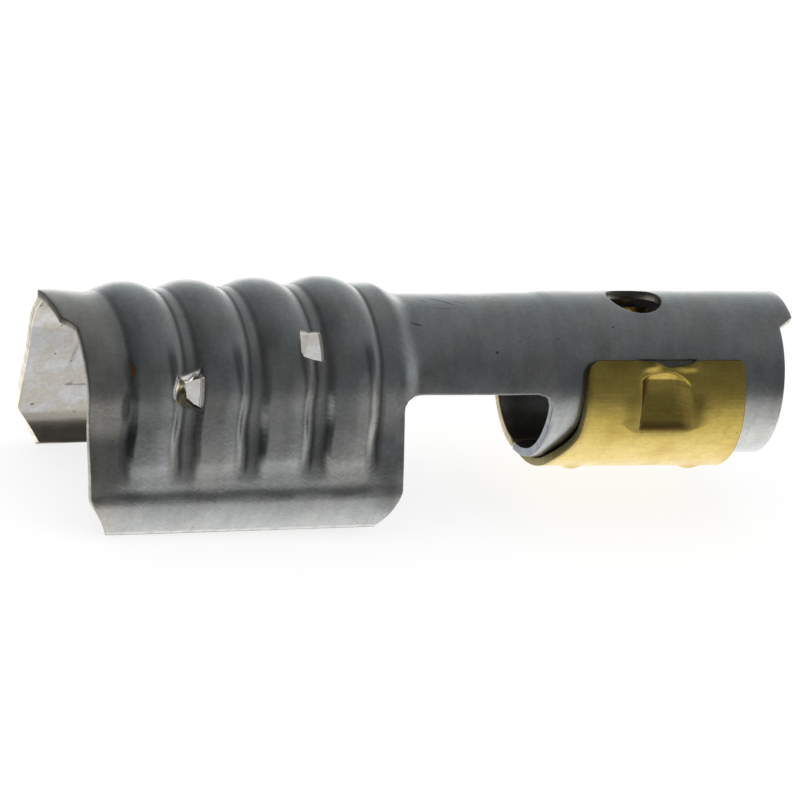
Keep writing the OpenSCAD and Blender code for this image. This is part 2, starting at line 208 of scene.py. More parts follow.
def relief(x, q, under=0.0):
    """Height of the sheet over its plain section at length x and developed distance q.

    The wings sway by smooth steps, more so toward the rear end: in under the arch, out toward the lip,
    a little in again, out over a wavy crease above the lip's bend and in past it. The rear end's top
    dips and turns up by two more. Four ribs stand on that: 1 - |t|^2.2 across on the arch, and a flat top
    between smooth flanks on the wings, where they wander by a sine. A rib's top sinks by a smooth step
    and a parabola down the wing. Its end is rounded by a sum of fifth powers, and fades out. On the
    underside (under = 1) the ribs are narrower and their flanks longer.
    """
    side = np.abs(q)
    ribbed = ease((x - RIBBED_REAR) / RIBBED_RUN) * ease((RIBBED_FRONT - x) / RIBBED_RUN)
    ripple = 0.045 * np.cos(2 * math.pi * (x - FIRST_RIB) / RIB_PITCH) + 0.02 * np.sin(1.1 * x + 0.4)
    crease = ease((side - CREASE_Q - ripple) / CREASE_RUN)
    sway = SWAY_OUT * ease((side - SWAY_OUT_Q) / SWAY_RUN)
    sway = sway - SWAY_IN * ease((side - SWAY_IN_Q) / SWAY_RUN)
    sway = sway * (1 + 0.25 * ease((-12.5 - x) / 3.5)) - 0.016 * ribbed * ease((side - 9.05) / 0.5)
    sway = sway + (0.012 + 0.016 * ribbed) * crease - 0.025 * ease((side - 10.0) / 0.6)
    upturn = REAR_UPTURN * ease((-14.8 - x) / 2.2) - REAR_DIP * ease((-14.2 - x) / 0.8)
    sway = sway + upturn * (1 - ease((side - 1.0) / 3.5))
    wing = ease((side - RIB_WING) / RIB_WING_RUN)
    near = np.clip(np.round((x - FIRST_RIB) / RIB_PITCH), 0, RIB_COUNT - 1)
    half = RIB_HALF - 0.2 * under
    wander = RIB_WANDER * wing * np.sin(RIB_WAVE * side + RIB_PHASE * near)
    off = x - FIRST_RIB - near * RIB_PITCH - wander
    flank = np.where(off > 0, RIB_RIGHT_FLANK, RIB_FLANK) + 0.3 * under
    end = RIB_END + 0.08 * np.sin(2.1 * near + 0.6)
    run = np.clip((side - end) / RIB_END_RUN, 0, 1)
    t = np.minimum(((np.abs(off) / half) ** 5 + (0.96 * run) ** 5) ** 0.2, 1)
    across = (1 - t**2.2) * (1 - wing) + ease((1 - t) * half / flank) * wing
    down = np.maximum(side - ARCH_RUN, 0)
    top = RIB_H - RIB_SINK * ease((side - 1.5) / 5.0) - 0.012 * down**2
    return sway + (top - sway) * across * (1 - ease(run))


def neck_radius(x):
    """Outside radius of the neck and socket at length x, a smooth step from one to the other."""
    return NECK_R + (SOCKET_R - NECK_R) * ease((x - NECK_LEN) / SOCKET_TAPER)


def shoulder(x):
    """Share of the neck's circle in the section at length x, a smooth step over the shoulder."""
    return ease((x - SHOULDER_REAR) / SHOULDER_RUN)


def strip_edge(x):
    """Developed half widths of the middle strip, on the barrel's section and on the neck's circle.

    The first widens over the ribs by a smooth step. The second ends at the height of the neck's edge.
    """
    barrel = EDGE_Q + STRIP_DROP * ease((STRIP_FROM - x) / STRIP_RUN)
    radius = neck_radius(x)
    return barrel, radius * np.arccos(NECK_EDGE_Z / radius)


def skin(x, q_barrel, q_neck, near, fade=1.0, under=0.0):
    """Outer skin of the stamping at length x, on the near (+1) or far (-1) side.

    The barrel's section and the neck's circle are mixed by a smooth step over the shoulder, times fade,
    and the barrel droops by a tilt that fades out near there. The socket's top rises a little by two
    smooth steps, of the length and of the height. The underside (under = 1) lies a sheet thickness
    further in. Lengths in, metres out.
    """
    yb, zb, turn = barrel_section(q_barrel)
    lift = relief(x, q_barrel, under) - SHEET_T * under
    yb, zb = yb + lift * np.sin(turn), zb + lift * np.cos(turn)
    radius = neck_radius(x)
    mix = shoulder(x) * fade
    inside = radius - SHEET_T * under
    yn, zn = inside * np.sin(q_neck / radius), inside * np.cos(q_neck / radius)
    zn = zn + SOCKET_RISE * ease((x - RISE_FROM) / RISE_RUN) * ease((zn + 0.5) / 3.0)
    y, z = yb + (yn - yb) * mix, zb + (zn - zb) * mix
    tilt = TILT * (1 - ease((x - TILT_FROM) / TILT_RUN))
    along = X_NECK + x * np.cos(tilt) - z * np.sin(tilt)
    up = x * np.sin(tilt) + z * np.cos(tilt)
    return np.stack([along, -near * y, up], axis=-1) * MM


def strip(x, w, under=0.0):
    """Point of the middle strip at length x and share w of its half width, near side positive."""
    barrel, neck = strip_edge(x)
    return skin(x, np.abs(w) * barrel, np.abs(w) * neck, np.where(w < 0, -1.0, 1.0), under=under)


def strip_marks(x, w):
    """Flat places of the middle strip, in its developed width at each length."""
    barrel, neck = strip_edge(x)
    return flat(x, w * (barrel + (neck - barrel) * shoulder(x)))


def flat(x, q, depth=0.0):
    """The developed place of a point: length, signed distance or degrees, and depth of a burr or pressing."""
    x, q, depth = np.broadcast_arrays(x, q, depth)
    return np.stack([x, q, depth], axis=-1)


def end_tab(y, length, beside):
    """Reach of a sheet end with a tapered tab: its length at the tip, a straight taper, then beside."""
    share = np.clip((TAB_ROOT - y) / (TAB_ROOT - TAB_TIP), 0, 1)
    return beside + (length - beside) * share


def rear_end(q, near=0.0):
    """Length at which the barrel's rear edge lies: slanting down the wing, then cut back on the lip.

    The tab at its top is a little shorter on the near side (near = 1).
    """
    y, z, _ = barrel_section(q)
    slant = BARREL_REAR + (BARREL_R - np.maximum(z, REAR_CUT_Z)) * math.tan(REAR_SLANT)
    cut = np.maximum(REAR_CUT_Z - z, 0) * LIP_REAR_CUT / (REAR_CUT_Z - LIP_END_Z)
    tip = BARREL_REAR - REAR_TAB + REAR_TAB_SKEW * near * np.clip(y / TAB_TIP, 0, 1)
    tab = end_tab(y, tip, slant)
    return np.where(q < ARCH_RUN / 2, tab, slant + cut)


def wing_end(q):
    """Length at which the wing's front edge lies: a fillet at its top, a slight slant, a cut lip."""
    z = barrel_section(q)[1]
    top = np.sqrt(np.clip(WING_FILLET**2 - (z - NECK_EDGE_Z + WING_FILLET) ** 2, 0, None))
    fillet = np.where(z > NECK_EDGE_Z - WING_FILLET, WING_FILLET - top, 0)
    drop = np.clip((REAR_CUT_Z - z) / (REAR_CUT_Z - LIP_END_Z), 0, 1)
    slant = WING_FRONT_SLANT * np.maximum(NECK_EDGE_Z - z, 0)
    return WING_FRONT + fillet + slant - LIP_FRONT_CUT * drop**1.1


def stretch(x, hold, base_end, end):
    """Lengths between hold and base_end, drawn out so that base_end lands on end."""
    share = np.clip((x - hold) / (base_end - hold), 0, 1)
    return x + share * (end - base_end)


def cells(place, beneath, marks, skip=None, turned=False):
    """One patch: its outer and inner points, its flat places and its quads, row by row."""
    rows, cols = place.shape[:2]
    index = np.arange(rows * cols).reshape(rows, cols)
    corners = [index[:-1, :-1], index[1:, :-1], index[1:, 1:], index[:-1, 1:]]
    quads = np.stack(corners[::-1] if turned else corners, axis=-1)
    quads = quads.reshape(-1, 4) if skip is None else quads[~skip]
    return place.reshape(-1, 3), beneath.reshape(-1, 3), marks.reshape(-1, 3), quads


def join(patches, weld=2e-6):
    """All patches as one skin, with points that fall on the same place welded and unused ones left out."""
    offset = np.cumsum([0] + [len(p[0]) for p in patches[:-1]])
    points, beneath, marks = (np.concatenate([p[k] for p in patches]) for k in range(3))
    quads = np.concatenate([p[3] + o for p, o in zip(patches, offset)])
    keys = np.round(points / weld).astype(np.int64)
    _, first, back = np.unique(keys, axis=0, return_index=True, return_inverse=True)
    quads = back.ravel()[quads]
    quads = quads[(np.diff(np.sort(quads, axis=1), axis=1) > 0).all(axis=1)]
    used, quads = np.unique(quads, return_inverse=True)
    keep = first[used]
    return points[keep], beneath[keep], marks[keep], quads.reshape(-1, 4)


def border(block):
    """The points round a block of a grid, in order, from its first corner and back to it."""
    sides = [block[0, :-1], block[:-1, -1], block[-1, :0:-1], block[::-1, 0]]
    return np.concatenate(sides)


def sided_hole(turn, sides):
    """Reach of a many-sided hole from its centre in each direction: the nearest of its sides."""
    edge_on, beyond = 0.05, 9.0
    lean = np.cos(turn[:, None] - sides[:, 0])
    reach = np.where(lean > edge_on, sides[:, 1] / np.maximum(lean, edge_on), beyond)
    return np.min(reach, axis=1)


def hole_patch(x, w, centre, outline, steps, opening=None):
    """Ring from a block's border to a hole's outline, and past it into burrs bent inward.

    Both rings share their directions from the hole's centre, and rows between them are straight
    blends. A burr row moves on toward the opening's outline and down along the sheet's normal by a
    power of its share of the burr's depth, which grows with the burr's length.
    """
    section = 0 if centre[0] < 0 else 1
    bx, bw = border(x), border(w)
    turn = np.arctan2(bw * strip_edge(bx)[section] - centre[1], bx - centre[0])
    reach = outline(turn)
    hx, hq = centre[0] + reach * np.cos(turn), centre[1] + reach * np.sin(turn)
    hw = hq / strip_edge(hx)[section]
    share = np.linspace(0, 1, steps)[:, None]
    px, pw = bx + (hx - bx) * share, bw + (hw - bw) * share
    patches = [cells(strip(px, pw), strip(px, pw, 1.0), strip_marks(px, pw))]
    if opening is not None:
        pull = np.clip(1 - opening(turn) / reach, 0.04, 0.9)
        depth = BURR_DEPTH + BURR_GROWTH * pull * reach
        share = np.linspace(0, 1, 8)[:, None]
        bx, bq = hx + (centre[0] - hx) * pull * share, hq + (centre[1] - hq) * pull * share
        bw = bq / strip_edge(bx)[section]
        base, dx, dw = strip(bx, bw), strip(bx + 0.02, bw), strip(bx, bw + 0.005)
        normal = np.cross(dw - base, dx - base)
        normal /= np.linalg.norm(normal, axis=-1, keepdims=True)
        sunk = base - normal * (depth * share**BURR_CURL * MM)[..., None]
        torn = sunk + (strip(bx, bw, 1.0) - base) * (1 - BURR_THINNING * share)[..., None]
        patches.append(cells(sunk, torn, flat(bx, bq, share)))
    return patches


def sheet_lengths():
    """Lengths of the stamping's grid lines, closest over the ribs and at the shoulder."""
    return np.concatenate([
        spread([BARREL_REAR, REAR_HOLD], 0.15)[:-1],
        spread([REAR_HOLD, RIB_FRONT], 0.085)[:-1],
        spread([RIB_FRONT, WING_TOP, NECK_REAR], 0.1)[:-1],
        spread([NECK_REAR, SOCKET_REAR], 0.35)[:-1],
        spread([SOCKET_REAR, SOCKET_HOLD, WINDOW_REAR, WINDOW_FRONT, MOUTH_HOLD, MOUTH], 0.24)])


def strip_patches(length):
    """The middle strip from the barrel's rear end to the mouth, with its holes and windows cut out.

    It is a grid of lengths and shares of its half width, drawn out at both ends to the tabs.
    """
    tips = np.array([TAB_TIP, TAB_ROOT])
    window_top = SOCKET_R * math.acos(WINDOW_TOP_Z / SOCKET_R) / STRIP_SOCKET
    marks = sorted([0, *(BARREL_R * np.arcsin(tips / BARREL_R) / STRIP_BARREL),
                    *(SOCKET_R * np.arcsin(tips / SOCKET_R) / STRIP_SOCKET), window_top, 1])
    half = spread(marks, 0.155 / STRIP_BARREL)
    across = np.concatenate([-half[:0:-1], half])
    x, w = np.meshgrid(length, across)
    x = stretch(x, REAR_HOLD, BARREL_REAR, rear_end(np.abs(w) * STRIP_BARREL, w > 0))
    mouth_y = SOCKET_R * np.sin(np.abs(w) * STRIP_SOCKET / SOCKET_R)
    x = stretch(x, MOUTH_HOLD, MOUTH, MOUTH + end_tab(mouth_y, MOUTH_TAB, 0.0))
    mid_x, mid_w = (x[:-1, :-1] + x[1:, 1:]) / 2, np.abs(w[:-1, :-1] + w[1:, 1:]) / 2
    skip = (mid_x > WINDOW_REAR) & (mid_x < WINDOW_FRONT) & (mid_w > window_top)
    patches = []

    def cut(centre, room, outline, steps, opening=None):
        """Leave out the block of cells within the room round a centre, and fill it with the hole's rings."""
        edge = STRIP_BARREL if centre[0] < 0 else STRIP_SOCKET
        c0, c1 = np.flatnonzero(np.abs(length - centre[0]) < room[0])[[0, -1]]
        r0, r1 = np.flatnonzero(np.abs(across * edge - centre[1]) < room[1])[[0, -1]]
        skip[r0:r1, c0:c1] = True
        block = (slice(r0, r1 + 1), slice(c0, c1 + 1))
        patches.extend(hole_patch(x[block], w[block], centre, outline, steps, opening))

    # Round hole in the socket's top, a little to the far side
    cut(TOP_HOLE, (1.75, 1.75), lambda turn: np.full_like(turn, TOP_HOLE_R), 5)
    # Pierced holes, each side as its direction and distance: the bent sheet, and the opening in it
    rear_bent = np.array([[0, 0.5], [-1.9, 0.78], [3.527, 0.95], [2.95, 1.12], [2.305, 1.09], [1.898, 0.995]])
    rear_open = np.array([[0, 0.47], [-1.934, 0.19], [3.142, 0.15], [2.283, 0.53]])
    cut(REAR_HOLE, (1.4, 1.55), lambda turn: sided_hole(turn, rear_bent), 7,
        lambda turn: sided_hole(turn, rear_open))
    front_bent = np.array([[0.035, 0.51], [-1.6, 0.7], [3.237, 0.68], [2.45, 0.8], [1.78, 0.68]])
    front_open = np.array([[0.035, 0.49], [-1.6, 0.63], [3.237, 0.52], [2.45, 0.74], [1.78, 0.65]])
    cut(FRONT_HOLE, (1.05, 1.25), lambda turn: sided_hole(turn, front_bent), 6,
        lambda turn: sided_hole(turn, front_open))
    patches.append(cells(strip(x, w), strip(x, w, 1.0), strip_marks(x, w), skip=skip))
    return patches


def wing_patches(length):
    """Both wings, from the strip's edge down to the lip's edge, drawn out to the rear and front edges."""
    cols = length[length <= WING_TOP + NUDGE]
    fillet_share = 0.08
    fillet = fillet_share * (1 - np.cos(np.linspace(0, math.pi / 2, 4)))
    down = np.concatenate([fillet[:-1], np.linspace(fillet_share, 1, 40)])
    base, v = np.meshgrid(cols, down)
    # The front edge's length depends on its own distance down the wing, so a few rounds settle both
    front_q = EDGE_Q + down * (HALF_RUN - EDGE_Q)
    for _ in range(3):
        start = strip_edge(wing_end(front_q))[0]
        front_q = start + down * (HALF_RUN - start)
    rear_q = STRIP_BARREL + down * (HALF_RUN - STRIP_BARREL)
    x = stretch(base, REAR_HOLD, BARREL_REAR, rear_end(rear_q)[:, None])
    x = stretch(x, WING_HOLD, WING_TOP, wing_end(front_q)[:, None])
    start, neck = strip_edge(x)
    q = start + v * (HALF_RUN - start)
    fade = 1 - ease((q - start) / 1.2)
    patches = []
    for near in (1.0, -1.0):
        outer, inner = (skin(x, q, neck + q - start, near, fade, under) for under in (0.0, 1.0))
        patches.append(cells(outer, inner, flat(x, near * q), turned=near < 0))
    return patches


def wall_patches(length):
    """Both walls of the socket, from the strip's edge round to the seam, with the windows left out.

    The rear edge is a quarter round under the neck and slants by two smooth steps of the height. Toward
    the seam it droops by the second of them, which fades out along the socket.
    """
    cols = length[length >= SOCKET_REAR - NUDGE]
    window_low = math.acos(WINDOW_LOW_Z / SOCKET_R) * SOCKET_R
    seam = math.pi * SOCKET_R - SEAM_GAP / 2
    fillet = STRIP_SOCKET + NECK_FILLET * (1 - np.cos(np.linspace(0, math.pi / 2, 4)))
    down = np.concatenate([fillet[:-1], spread([fillet[-1], window_low, seam], 0.22)])
    base, q = np.meshgrid(cols, down)
    z = SOCKET_R * np.cos(down / SOCKET_R)[:, None]
    rise = np.clip(z - NECK_EDGE_Z + NECK_FILLET, 0, NECK_FILLET)
    rear = NECK_LEN - NECK_FILLET + np.sqrt(np.clip(NECK_FILLET**2 - rise**2, 0, None))
    x = stretch(base, SOCKET_HOLD, SOCKET_REAR, rear)
    edge = strip_edge(x)[1]
    share = (q - STRIP_SOCKET) / (seam - STRIP_SOCKET)
    q = edge + share * (math.pi * neck_radius(x) - SEAM_GAP / 2 - edge)
    mid_x, mid_q = (x[:-1, :-1] + x[1:, 1:]) / 2, (q[:-1, :-1] + q[1:, 1:]) / 2
    skip = (mid_x > WINDOW_REAR) & (mid_x < WINDOW_FRONT) & (mid_q < window_low)
    upper_turn, lower_turn = ease((NECK_EDGE_Z - z) / 2.0), ease((-1.0 - z) / 2.5)
    patches = []
    for near, side_cut, seam_cut in ((1.0, 0.1, 0.12), (-1.0, 0.15, 0.08)):
        cut_x = stretch(x, SOCKET_HOLD, rear, rear + side_cut * upper_turn + seam_cut * lower_turn)
        outer, inner = (skin(cut_x, q, q, near, under=under) for under in (0.0, 1.0))
        droop = SOCKET_DROOP * MM * lower_turn * (1 - ease((cut_x - SOCKET_REAR) / DROOP_RUN))
        outer[..., 2] -= droop
        inner[..., 2] -= droop
        patches.append(cells(outer, inner, flat(cut_x, near * q), skip, near < 0))
    return patches


def sheet_surface():
    """The whole stamping as one skin: the middle strip, two wings and two socket walls."""
    length = sheet_lengths()
    return join(strip_patches(length) + wing_patches(length) + wall_patches(length))


def clip_skin(u, a, under):
    """The brass strip bent round the socket, at share u of its length and share a of its turn.

    The rear edge sweeps back to a longer base by a smooth step of the angle, and the front edge leans
    back with the angle squared. The arms' ends carry a notch of two straight sides and corners of a
    quarter round. Two bosses under each side are smooth steps of the distance from their middles. Each
    side is pressed inward to a sloping floor by a product of four smooth steps, under a parabola's arch,
    with a shallow brim drawn in round it by four wider ones, and two bell curves raise the notch's lips.
    The underside (under = 1) lies a strip thickness further in, with a wider pressing and a hem along
    the rear edge that turns in to the socket. Returns the points and their flat places.
    """
    degrees = np.abs(a) * math.degrees(CLIP_TURN)
    rear = CLIP_REAR - CLIP_BASE * ease((BASE_DEGREES - degrees) / BASE_SWEEP)
    front = CLIP_FRONT - CLIP_LEAN * (degrees / LEAN_DEGREES) ** 2
    x = rear + u * (front - rear)
    back = np.clip((REAR_CORNER - (x - CLIP_REAR)) / REAR_CORNER, 0, 1)
    ahead = np.clip((FRONT_CORNER - (front - x)) / FRONT_CORNER, 0, 1)
    notch = np.where(x < NOTCH_X, 1 - (NOTCH_X - x) / NOTCH_REAR, 1 - (x - NOTCH_X) / NOTCH_FRONT)
    notch = soft_min(np.maximum(notch, 0), np.full_like(x, NOTCH_FLAT), NOTCH_ROUND)
    corners = REAR_CORNER * (1 - np.sqrt(1 - back**2)) + FRONT_CORNER * (1 - np.sqrt(1 - ahead**2))
    fall = corners + NOTCH_DEPTH * notch
    top = np.arccos(np.clip(-(CLIP_TOP_Z - fall + CLIP_SAG) / CLIP_R, -1, 1))
    turn = np.abs(a) * (CLIP_TURN + (top - CLIP_TURN) * ease((np.abs(a) - 0.55) / 0.45))
    boss = np.zeros_like(x)
    for boss_x in BOSS_X:
        away = np.hypot(x - boss_x, (turn - BOSS_TURN) * CLIP_R)
        boss = np.maximum(boss, BOSS_H * (1 - ease((away - BOSS_TOP) / BOSS_RUN)))
    hem = CLIP_HEM * (1 - ease((x - rear - HEM_FLAT) / HEM_RUN))
    r = CLIP_R + boss - (CLIP_T + hem) * under
    y, z = r * np.sin(turn), -r * np.cos(turn) - CLIP_SAG

    upper = np.maximum(z + 0.05, 0)
    arch = PRESS_ARCH * ((x - PRESS_X) / PRESS_HALF) ** 2 * np.where(x < PRESS_X, 0.8, 1.0)
    arch = PRESS_TOP_Z - arch
    left_end = PRESS_LEFT + 0.03 * (1.5 - z) - 0.1 * upper
    right_end = PRESS_RIGHT - 0.2 * (z + 0.88)
    wide = 0.2 * under
    press = ease((x - left_end + wide) / (0.24 + 0.22 * upper)) * ease((right_end + wide - x) / 0.95)
    press = press * ease((z - PRESS_LOW_Z + wide) / 0.36) * ease((arch + wide - z) / 0.14)
    brim = ease((x - left_end + 0.45) / 0.75) * ease((right_end + 0.25 - x) / 1.0)
    brim = brim * ease((z + 1.35) / 0.6) * ease((arch + 0.5 - z) / 0.6)
    floor_y = FLOOR_Y + FLOOR_LOW_SLOPE * np.maximum(FLOOR_Z - z, 0)
    floor_y = floor_y + FLOOR_TOP_SLOPE * np.maximum(z - FLOOR_Z, 0)
    y = y - BRIM_DEPTH * brim
    y = y + (np.minimum(y, floor_y - CLIP_T * under) - y) * press
    lips = sum(np.exp(-(((x - lip_x) / width) ** 2)) for lip_x, width in NOTCH_LIPS)
    y = y + LIP_H * lips * ease((z - 1.68) / 0.45)
    place = np.stack([x, -np.sign(a) * y, z], axis=-1) * MM
    return place, flat(x, np.degrees(turn) * np.sign(a), press)


def clip_surface():
    """Both skins of the clip on one grid, closer at the pressing and at the arms' ends."""
    along = np.concatenate([
        spread([0, 0.1, 0.34], 0.0105)[:-1],
        spread([0.34, 0.7], 0.0052),
        spread([0.7, 0.95, 1], 0.0105)[1:]])
    half = np.concatenate([
        spread([0, 0.6], 0.0115)[:-1],
        spread([0.6, 0.95], 0.0058),
        spread([0.95, 1], 0.008)[1:]])
    u, a = np.meshgrid(along, np.concatenate([-half[:0:-1], half]))
    outer, marks = clip_skin(u, a, 0.0)
    inner, _ = clip_skin(u, a, 1.0)
    return join([cells(outer, inner, marks, turned=True)])


def add_object(name, data):
    """A new object with this data, linked to the scene."""
    obj = bpy.data.objects.new(name, data)
    bpy.context.scene.collection.objects.link(obj)
    return obj


def sheet_metal(name, surface, edge):
    """A closed mesh from an outer and an inner skin, with rims along the edges that only one quad has.

    Slots 0, 1 and 2 are the outer skin, the sheared rims and the inner skin. A bevel rounds the rims'
    long edges, which carry its weight.
    """
    outer, inner, marks, quads = surface
    count = len(outer)
    sides = np.concatenate([quads[:, [k, (k + 1) % 4]] for k in range(4)])
    _, back, times = np.unique(np.sort(sides, axis=1), axis=0, return_inverse=True, return_counts=True)
    a, b = sides[times[back.ravel()] == 1].T
    rims = np.stack([b, a, a + count, b + count], axis=-1)
    faces = np.concatenate([quads, rims, quads[:, ::-1] + count])
    slots = np.repeat([0, 1, 2], [len(quads), len(rims), len(quads)])
    mesh = bpy.data.meshes.new(name)
    mesh.from_pydata(np.concatenate([outer, inner]), [], faces.tolist())
    mesh.polygons.foreach_set("material_index", slots)
    spots = mesh.attributes.new("flat", "FLOAT_VECTOR", "POINT")
    spots.data.foreach_set("vector", np.concatenate([marks, marks]).ravel())
    edges = np.empty(2 * len(mesh.edges), dtype=np.int32)
    mesh.edges.foreach_get("vertices", edges)
    edges = np.sort(edges.reshape(-1, 2), axis=1).astype(np.int64)
    long_edges = np.sort(np.concatenate([rims[:, :2], rims[:, 2:]]), axis=1)
    at_rim = np.isin(edges @ [2 * count, 1], long_edges @ [2 * count, 1])
    weights = mesh.attributes.new("bevel_weight_edge", "FLOAT", "EDGE")
    weights.data.foreach_set("value", at_rim.astype(float))
    mesh.shade_smooth()
    mesh.update()
    obj = add_object(name, mesh)
    bevel = obj.modifiers.new("sheared edges", "BEVEL")
    bevel.width = edge * MM
    bevel.segments = 2
    bevel.limit_method = "WEIGHT"
    bevel.use_clamp_overlap = False
    bevel.material = 1
    return obj


class Nodes:
    """Short ways to add and link shader nodes of one material or world."""

    def __init__(self, owner):
        owner.use_nodes = True
        self.tree = owner.node_tree
        self.tree.nodes.clear()

    def add(self, kind, **inputs):
        """A new shader node, with its inputs given by name."""
        node = self.tree.nodes.new("ShaderNode" + kind)
        for name, value in inputs.items():
            self.put(node.inputs[name.replace("_", " ")], value)
        return node

    def put(self, socket, value):
        """Link an output to this input, or set it to a plain value."""
        if isinstance(value, bpy.types.NodeSocket):
            self.tree.links.new(value, socket)
        else:
            socket.default_value = value

    def apply(self, kind, operation, *values):
        """A new math node of this kind, with its inputs given in order."""
        node = self.add(kind)
        node.operation = operation
        for socket, value in zip(node.inputs, values):
            self.put(socket, value)
        return node

    def math(self, operation, a, b=0.0):
        """One number from two."""
        return self.apply("Math", operation, a, b).outputs[0]

    def times(self, *factors):
        """The product of all factors."""
        total = factors[0]
        for factor in factors[1:]:
            total = self.math("MULTIPLY", total, factor)
        return total

    def ramp(self, value, low, high, to_low=0.0, to_high=1.0, kind="SMOOTHSTEP"):
        """A smooth step from to_low at low to to_high at high, level outside."""
        node = self.add("MapRange")
        node.interpolation_type = kind
        for index, v in enumerate((value, low, high, to_low, to_high)):
            self.put(node.inputs[index], v)
        return node.outputs[0]

    def fall(self, value, low, high):
        """A smooth step down, from 1 at low to 0 at high."""
        return self.ramp(value, low, high, 1.0, 0.0)

    def band(self, value, centre, core, reach):
        """1 within the core round a centre, falling to 0 at the reach."""
        gap = self.math("ABSOLUTE", self.math("SUBTRACT", value, centre))
        return self.fall(gap, core, reach)

    def noise(self, where, scale, detail=3.0, roughness=0.5):
        """Cloudy noise of this scale, about 0.5."""
        node = self.add("TexNoise", Vector=where, Scale=scale, Detail=detail, Roughness=roughness)
        return node.outputs["Fac"]

    def split(self, vector):
        """The three parts of a vector."""
        return tuple(self.add("SeparateXYZ", Vector=vector).outputs)

    def scaled(self, where, factors):
        """A place with each of its parts times a factor of its own."""
        return self.apply("VectorMath", "MULTIPLY", where, factors).outputs[0]

    def stretched(self, where, turn, size, centre=(0.0, 0.0, 0.0)):
        """A place in a frame of this centre, turn and size."""
        node = self.add("Mapping", Vector=where, Location=centre, Rotation=(0, 0, turn), Scale=size)
        node.vector_type = "TEXTURE"
        return node.outputs[0]

    def mark(self, where, centre, size, turn=0.0):
        """An oval spot: 1 up to half its size, falling to 0 at its edge."""
        inside = self.stretched(where, turn, (*size, 1.0), (*centre, 0.0))
        return self.fall(self.apply("VectorMath", "LENGTH", inside).outputs["Value"], 0.5, 1.0)

    def mix(self, share, a, b):
        """A colour between two."""
        node = self.add("Mix")
        node.data_type = "RGBA"
        self.put(node.inputs["Factor"], share)
        self.put(node.inputs["A"], a)
        self.put(node.inputs["B"], b)
        return node.outputs["Result"]

    def paint(self, colour, cover, *masks):
        """A colour, covered by another where the product of the masks says."""
        return self.mix(self.times(*masks), colour, (*cover, 1))

    def shade(self, tone, share, *masks):
        """A tone, darker by this share where the product of the masks is 1, or lighter if it is negative."""
        mask = self.times(*masks)
        return self.math("MULTIPLY", tone, self.ramp(mask, 0.0, 1.0, 1.0, 1.0 - share, "LINEAR"))

    def toned(self, colour, tone):
        """A colour times a tone."""
        node = self.apply("VectorMath", "SCALE", colour)
        self.put(node.inputs["Scale"], tone)
        return node.outputs[0]

    def finish(self, colour, rough, height, depth):
        """Metal shader with this colour and roughness, and a bump of so many millimetres."""
        bump = self.add("Bump", Strength=0.5, Distance=depth * MM, Height=height)
        shader = self.add("BsdfPrincipled", Base_Color=colour, Metallic=1.0, Roughness=rough,
                          Normal=bump.outputs[0])
        self.add("OutputMaterial", Surface=shader.outputs[0])


def start_finish(name):
    """A new material, its nodes, and the flat place of the surface."""
    mat = bpy.data.materials.new(name)
    n = Nodes(mat)
    place = n.add("Attribute")
    place.attribute_name = "flat"
    return mat, n, place.outputs["Vector"]


def rib_share(n, x, side):
    """Place across the nearest rib, -1 at its left foot and 1 at its right one, following its wander."""
    rib = n.math("ROUND", n.math("DIVIDE", n.math("SUBTRACT", x, FIRST_RIB), RIB_PITCH))
    rib = n.math("MAXIMUM", n.math("MINIMUM", rib, RIB_COUNT - 1), 0)
    middle = n.math("ADD", n.math("MULTIPLY", rib, RIB_PITCH), FIRST_RIB)
    swing = n.math("SINE", n.math("ADD", n.times(side, RIB_WAVE), n.times(rib, RIB_PHASE)))
    wing = n.ramp(side, RIB_WING, RIB_WING + RIB_WING_RUN)
    middle = n.math("ADD", middle, n.times(swing, wing, RIB_WANDER))
    return n.math("DIVIDE", n.math("SUBTRACT", x, middle), RIB_HALF)


# Marks of the plating as flat centre, half lengths and turn. The dark ones, with how dark each is, are two
# dark patches at the first rib's left foot, then scars and specks of the neck and socket
DARK_MARKS = [
    ((-14.5, 4.0), (0.35, 0.8), 0.0, 0.3), ((-14.62, 5.6), (0.3, 0.9), 0.0, 0.45),
    ((-0.3, 1.57), (0.36, 0.06), 0.22, 0.65), ((3.34, 2.98), (0.1, 0.08), 0.0, 0.7),
    ((9.14, 1.88), (0.08, 0.06), 0.0, 0.6), ((1.0, -0.3), (0.5, 0.05), 0.5, 0.6),
    ((1.45, -0.1), (0.6, 0.055), 0.6, 0.6), ((1.8, 0.2), (0.45, 0.045), 0.45, 0.5),
    ((0.55, -0.15), (0.4, 0.05), 0.7, 0.5), ((2.3, 0.1), (0.5, 0.045), 0.35, 0.45),
    ((1.2, 0.55), (0.9, 0.03), 0.05, 0.45)]
LIGHT_MARKS = [
    ((-12.9, 6.05), (0.5, 0.025), 0.12), ((-9.6, 5.95), (0.45, 0.025), -0.1),
    ((-6.6, 6.15), (0.35, 0.022), 0.2)]


